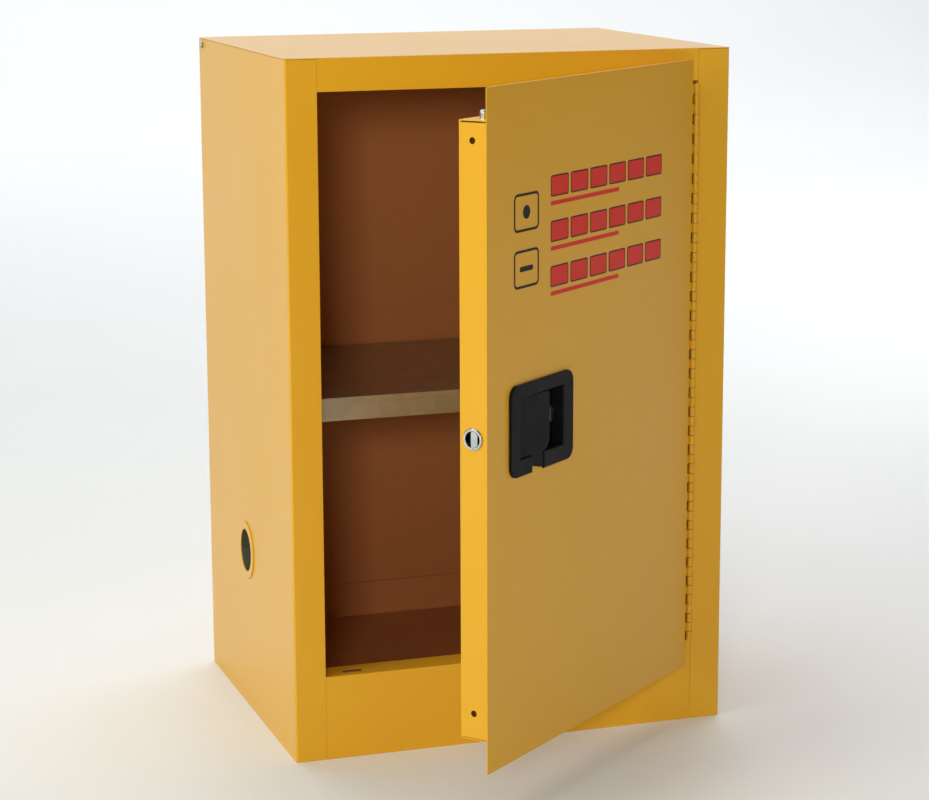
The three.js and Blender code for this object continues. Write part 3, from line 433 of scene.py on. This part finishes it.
# ---------------------------------------------------------------- vents
FITTING_SIDES = 96
FITTING_WALL = 2.8 * MM
LIP_SHARE = 0.45
MESH_SIDES = 48
MESH_RIM = 1.4 * MM
FINE_MESH = 0.4 * MM
WIRE = 0.26 * MM
WIRE_PITCH = 1.3 * MM
WIRE_SIDES = 5
WIRE_END_GAP = 0.2 * MM
SHORTEST_HALF_WIRE = 2 * MM


def add_vent(side):
    """The flanged vent fitting with a rounded lip, and its two layers of woven wire."""
    fitting_low, fitting_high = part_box(f"vent_fitting_{side}")
    mesh_low, mesh_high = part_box(f"flame_arrester_{side}")
    sign = -1 if side == "left" else 1
    wall = shell_low.x if side == "left" else right_high.x
    face, end = (fitting_low.x, fitting_high.x)[::-sign]
    y = (fitting_low.y + fitting_high.y) / 2
    z = (fitting_low.z + fitting_high.z) / 2
    flange = (fitting_high.z - fitting_low.z) / 2
    mesh_radius = (mesh_high.z - mesh_low.z) / 2
    bore = mesh_radius + SEAM
    tube = bore + FITTING_WALL
    back = wall + sign * SEAM
    lip = LIP_SHARE * abs(face - back)
    outer_lip = [(face - sign * (lip - u), flange - lip + v) for u, v in arc(0, 0, lip, 90, 0, 5)]
    inner_lip = [(face - sign * (lip - u), bore + lip + v) for u, v in arc(0, 0, lip, 0, -90, 5)]
    section = [(back, flange), *outer_lip, *inner_lip, (end, bore), (end, tube), (back, tube)]
    bm = bmesh.new()
    lathe_x(bm, section, y, z, FITTING_SIDES)
    fitting = f"vent_fitting_{side}"
    finish_mesh(f"{fitting}_turned", bm, "cabinet", "yellow_paint", (fitting,))

    front, rear = (mesh_low.x, mesh_high.x)[::-sign]
    rows = int(mesh_radius / WIRE_PITCH)
    bm = bmesh.new()
    for across in (0, 1):
        for row in range(-rows, rows + 1):
            offset = row * WIRE_PITCH
            half = math.sqrt(mesh_radius**2 - offset**2) - WIRE_END_GAP
            if half > SHORTEST_HALF_WIRE:
                sweep(bm, woven_path(back, y, z, offset, half, row + across, across), WIRE, WIRE_SIDES)
    fine = rear + sign * FINE_MESH
    middle = 0.1 * MM
    disc = [(fine, middle), (fine, mesh_radius), (rear, mesh_radius), (rear, middle)]
    lathe_x(bm, disc, y, z, MESH_SIDES)
    inside = mesh_radius - MESH_RIM
    rim = [(front, inside), (front, mesh_radius), (rear, mesh_radius), (rear, inside)]
    lathe_x(bm, rim, y, z, MESH_SIDES)
    arrester = f"flame_arrester_{side}"
    finish_mesh(f"{arrester}_woven", bm, "cabinet", "arrester_mesh", (arrester,))


def woven_path(plane, y, z, offset, half, phase, across):
    """One wire of the weave, passing over and under those that cross it."""
    steps = max(4, int(4 * half / WIRE_PITCH))
    path = []
    for step in range(steps + 1):
        along = -half + 2 * half * step / steps
        depth = plane + WIRE * math.cos(math.pi * (along / WIRE_PITCH + phase))
        path.append(Vector((depth, y + offset, z + along) if across else (depth, y + along, z + offset)))
    return path


def sweep(bm, path, radius, sides):
    """A closed round wire along a path of points."""
    loops = []
    for index, point in enumerate(path):
        ahead = path[min(index + 1, len(path) - 1)] - path[max(index - 1, 0)]
        ahead.normalize()
        if index == 0:
            side = ahead.orthogonal()
        side = (side - side.dot(ahead) * ahead).normalized()
        other = ahead.cross(side)
        loops.append([
            bm.verts.new(point + radius * (math.cos(a) * side + math.sin(a) * other))
            for a in (2 * math.pi * corner / sides for corner in range(sides))
        ])
    bm.faces.new(loops[0][::-1])
    bm.faces.new(loops[-1])
    for first, second in zip(loops, loops[1:]):
        for corner in range(sides):
            after = (corner + 1) % sides
            bm.faces.new((first[corner], first[after], second[after], second[corner]))


# ---------------------------------------------------------------- handle, lock and latch
ON_FACE = 0.2 * MM
BEZEL_ROUNDING = 1.3 * MM
ROD_TIP_ROUNDING = 3.2 * MM
SHELF_LIP_ROUNDING = 1.1 * MM


def on_bezel_rim(edge):
    """Edges of the handle dish that lie on its front face."""
    face_y = shut_box("handle_dish")[0].y
    return all((SHUT_DOOR @ vertex.co).y < face_y + ON_FACE for vertex in edge.verts)


def add_handle():
    soften("handle_dish", 0.5 * MM, wide=(on_bezel_rim, BEZEL_ROUNDING))
    soften("paddle", 0.7 * MM, segments=3)


def add_hardware():
    for node, width in (
        ("lock_housing", 1.1), ("lock_plug", 0.6), ("bolt_housing", 0.3),
        ("ground_screw", 0.9), ("ground_screw_nut", 0.4), ("bottom_rod", 0.5),
        ("vent_ring_nut_left", 0.4), ("vent_ring_nut_right", 0.4), ("lock_tongue", 0.3),
        ("latch_cam", 0.3), ("bolt_housing_nut", 0.4), ("lock_nut", 0.4),
    ):
        soften(node, width * MM)
    rod_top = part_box("top_rod")[1].z
    soften("top_rod", 0.4 * MM, wide=(above(rod_top - ON_FACE), ROD_TIP_ROUNDING))
    for side in ("left", "right"):
        for end in ("front", "rear"):
            soften(f"shelf_standard_{side}_{end}", 0.25 * MM)
            soften(f"shelf_clip_{side}_{end}", 0.3 * MM)


def add_bolt():
    """The centre bolt, with the strike bevel of its nose drawn shallower than the solid's."""
    low, high = shut_box("latch_bolt")
    bolt = soften("latch_bolt", 0.3 * MM)
    solid_bevel = 9 * MM
    drawn_bevel = 3.5 * MM
    flat_from_axis = 6 * MM
    flat = (low.y + high.y) / 2 + flat_from_axis
    for vertex in bolt.data.vertices:
        place = SHUT_DOOR @ vertex.co
        if abs(place.x - low.x - solid_bevel) < MM and place.y > flat:
            place.x -= solid_bevel - drawn_bevel
            vertex.co = OPEN_DOOR @ place


def add_shelf():
    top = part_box("shelf")[1].z
    soften("shelf", 0.3 * MM, wide=(above(top - ON_FACE), SHELF_LIP_ROUNDING))


# ---------------------------------------------------------------- sign on the door
FILM = 0.12 * MM
FILM_CLEARANCE = 0.02 * MM


def add_sign():
    """Even rows of blocks and two framed marks that mean nothing, where a sign would be printed."""
    skin_low = shut_box("door_skin")[0]
    face = skin_low.y

    def film(name, slot, outline, lift=0, holes=()):
        bm = bmesh.new()
        loops = [outline, *holes]
        edges = []
        for loop in loops:
            verts = [bm.verts.new((x, face - FILM * (lift + 1), z)) for x, z in loop]
            edges += [bm.edges.new((a, b)) for a, b in zip(verts, verts[1:] + verts[:1])]
        filled = bmesh.ops.triangle_fill(bm, edges=edges, use_beauty=True)
        faces = [f for f in filled["geom"] if isinstance(f, bmesh.types.BMFace)]
        made = bmesh.ops.extrude_face_region(bm, geom=faces)
        for vertex in (v for v in made["geom"] if isinstance(v, bmesh.types.BMVert)):
            vertex.co.y += FILM * (lift + 1) - FILM_CLEARANCE
        bm.transform(OPEN_DOOR)
        return finish_mesh(name, bm, "door", slot, sharp=30)

    def bar(x0, x1, z0, z1, radius):
        corners = ((x1 - radius, z1 - radius, 0), (x0 + radius, z1 - radius, 90),
                   (x0 + radius, z0 + radius, 180), (x1 - radius, z0 + radius, 270))
        return [p for x, z, start in corners for p in arc(x, z, radius, start, start + 90, 5)]

    left = skin_low.x + 142 * MM
    top = 764 * MM
    row_pitch = 53 * MM
    row_width = 275 * MM
    tall = 25 * MM
    rim = 1.6 * MM
    rim_corner = 3 * MM
    block_corner = 1.8 * MM
    line_drop = 10 * MM
    line_tall = 5 * MM
    line_corner = 2.2 * MM
    line_width = 0.6 * row_width
    blocks = 6
    space = 5 * MM
    block_pitch = (row_width + space) / blocks
    for row in range(3):
        z1 = top - row * row_pitch
        for index in range(blocks):
            x0 = left + index * block_pitch
            x1 = x0 + block_pitch - space
            place = f"{row + 1}_{index + 1}"
            film(f"sign_rim_{place}", "label_black", bar(x0, x1, z1 - tall, z1, rim_corner))
            inside = bar(x0 + rim, x1 - rim, z1 - tall + rim, z1 - rim, block_corner)
            film(f"sign_block_{place}", "label_red", inside, lift=1)
        low = z1 - tall - line_drop
        line = bar(left, left + line_width, low, low + line_tall, line_corner)
        film(f"sign_line_{row + 1}", "label_red", line)

    width = 56 * MM
    height = 44 * MM
    stroke = 3 * MM
    frame_corner = 7 * MM
    x0 = skin_low.x + 59 * MM
    x1 = x0 + width
    middle_x = (x0 + x1) / 2
    upper_z = 728 * MM
    lower_z = 663 * MM
    for name, z in (("upper", upper_z), ("lower", lower_z)):
        z0 = z - height / 2
        z1 = z + height / 2
        hole = bar(x0 + stroke, x1 - stroke, z0 + stroke, z1 - stroke, frame_corner - stroke)
        film(f"sign_frame_{name}", "label_black", bar(x0, x1, z0, z1, frame_corner), holes=(hole,))
    dot_radius = 8 * MM
    film("sign_dot", "label_black", circle(middle_x, upper_z, dot_radius))
    across = 15 * MM
    up = 3 * MM
    dash_corner = 2.6 * MM
    dash = bar(middle_x - across, middle_x + across, lower_z - up, lower_z + up, dash_corner)
    film("sign_dash", "label_black", dash)


# ---------------------------------------------------------------- stage and light
def add_stage():
    """A pale sweep of floor that curves up far behind."""
    half = 14.0
    back = 12.0
    radius = 4.0
    height = 12.0
    steps = 16
    profile = [(-half, 0.0)] + [
        (back - radius + radius * math.sin(a), radius - radius * math.cos(a))
        for a in (math.radians(90 * step / steps) for step in range(steps + 1))
    ] + [(back, height)]
    bm = bmesh.new()
    rows = [[bm.verts.new((x, y, z)) for x in (-2 * half, 2 * half)] for y, z in profile]
    for low, high in zip(rows, rows[1:]):
        bm.faces.new((low[0], low[1], high[1], high[0]))
    mesh = bpy.data.meshes.new("floor")
    bm.to_mesh(mesh)
    bm.free()
    mesh.shade_smooth()
    shader = Shader("studio_floor")
    drift = shader.spread(shader.noise(0.8), 0, 1)
    shader.color(shader.blend(drift, (0.87, 0.89, 0.905), (0.85, 0.87, 0.885)))
    shader.roughness(shader.spread(shader.noise(3), 0.55, 0.65))
    mesh.materials.append(shader.material)
    floor = bpy.data.objects.new("floor", mesh)
    bpy.context.scene.collection.objects.link(floor)


def add_area(name, place, target, size, power, color=(1, 1, 1)):
    data = bpy.data.lights.new(name, "AREA")
    data.shape = "RECTANGLE"
    data.size, data.size_y = size
    data.energy = power
    data.color = color
    light = bpy.data.objects.new(name, data)
    light.location = place
    aim = Vector(target) - Vector(place)
    light.rotation_euler = aim.to_track_quat("-Z", "Y").to_euler()
    bpy.context.scene.collection.objects.link(light)


def add_light():
    scene = bpy.context.scene
    scene.view_settings.view_transform = "Standard"
    world = bpy.data.worlds.new("studio")
    world.use_nodes = True
    background = world.node_tree.nodes["Background"]
    background.inputs["Color"].default_value = (1, 1, 1, 1)
    background.inputs["Strength"].default_value = 0.12
    scene.world = world
    middle = (0, 0, 0.45)
    warm = (1, 0.93, 0.82)
    add_area("key", (-4.0, -1.3, 2.0), middle, (1.8, 1.8), 68, (0.96, 1, 0.78))
    add_area("front", (-1.7, -4.1, 1.5), middle, (0.6, 0.6), 52, warm)
    add_area("right_fill", (2.4, -3.4, 1.5), middle, (1.2, 1.2), 11, warm)
    add_area("top", (-0.4, 0.4, 3.4), middle, (2.4, 2.4), 33)
    add_area("far_floor", (1.5, 8, 4.6), (1.5, 8, 0), (14, 9), 550)
    add_area("right_floor", (3.4, 2.2, 3.0), (3.4, 2.2, 0), (3, 3), 70)
    add_area("left_floor", (-2.4, -1.9, 2.4), (-1.7, -1.4, 0), (1, 1), 14)


add_sheet_metal()
add_hinge()
for side in ("left", "right"):
    add_vent(side)
add_handle()
add_hardware()
add_bolt()
add_shelf()
add_sign()
paint_solids()
add_stage()
add_light()
